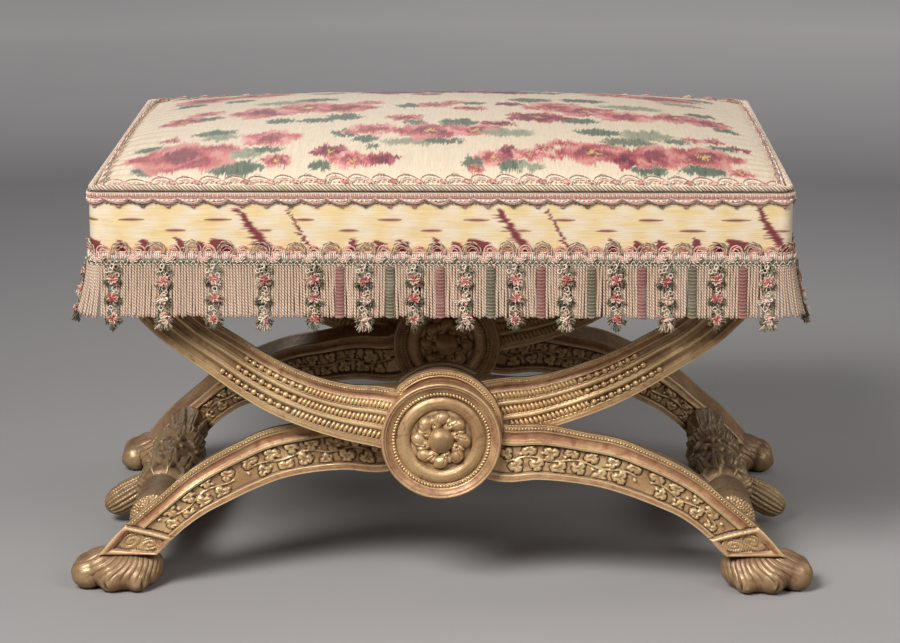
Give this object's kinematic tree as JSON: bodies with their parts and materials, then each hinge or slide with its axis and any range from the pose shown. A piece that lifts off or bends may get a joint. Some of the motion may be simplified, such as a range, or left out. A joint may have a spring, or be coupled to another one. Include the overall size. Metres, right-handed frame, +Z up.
{
  "type": "giltwood stool",
  "caption": "Low carved and gilded stool on two pinned crosses with paw feet, joined by side stretchers under a boxed, domed silk seat with gimp and fringe.",
  "frame": {"origin": "on the floor, under the middle of the seat", "axes": "+X across the stool to the right as seen from the front, +Y from front to back, +Z up"},
  "size_m": [0.725, 0.531, 0.4393],
  "materials": {
    "gilt_wood": "old water gilding over red bole, worn on the edges",
    "beech_wood": "plain sawn wood, unpolished",
    "cover_silk": "warp-printed silk with flower sprays",
    "boxing_silk": "warp-dyed silk with dashes and feathered strokes",
    "trimming": "twisted cord, gimp and fringe",
    "webbing": "woven linen webbing and cloth",
    "hair_stuffing": "curled horsehair in linen"
  },
  "bodies": {
    "root": {"front_cross_outer_member": "gilt_wood", "front_cross_inner_member": "gilt_wood", "rear_cross_outer_member": "gilt_wood", "rear_cross_inner_member": "gilt_wood", "front_outer_roundel": "gilt_wood", "front_inner_roundel": "gilt_wood", "rear_outer_roundel": "gilt_wood", "rear_inner_roundel": "gilt_wood", "front_cross_pin": "gilt_wood", "front_inner_knob": "gilt_wood", "rear_cross_pin": "gilt_wood", "rear_inner_knob": "gilt_wood", "front_left_paw": "gilt_wood", "front_right_paw": "gilt_wood", "rear_left_paw": "gilt_wood", "rear_right_paw": "gilt_wood", "left_stretcher": "gilt_wood", "right_stretcher": "gilt_wood", "front_seat_board": "beech_wood", "rear_seat_board": "beech_wood", "left_seat_board": "beech_wood", "right_seat_board": "beech_wood", "front_left_corner_block": "beech_wood", "front_right_corner_block": "beech_wood", "rear_left_corner_block": "beech_wood", "rear_right_corner_block": "beech_wood", "long_strap_1": "webbing", "long_strap_2": "webbing", "long_strap_3": "webbing", "cross_strap_1": "webbing", "cross_strap_2": "webbing", "cross_strap_3": "webbing", "cross_strap_4": "webbing", "base_cloth": "webbing", "seat_stuffing": "hair_stuffing", "top_cover": "cover_silk", "boxing_band": "boxing_silk", "top_edge_cord": "trimming", "top_gimp": "trimming", "upper_gimp": "trimming", "fringe_heading": "trimming", "front_fringe": "trimming", "rear_fringe": "trimming", "left_fringe": "trimming", "right_fringe": "trimming"}
  },
  "joints": []
}
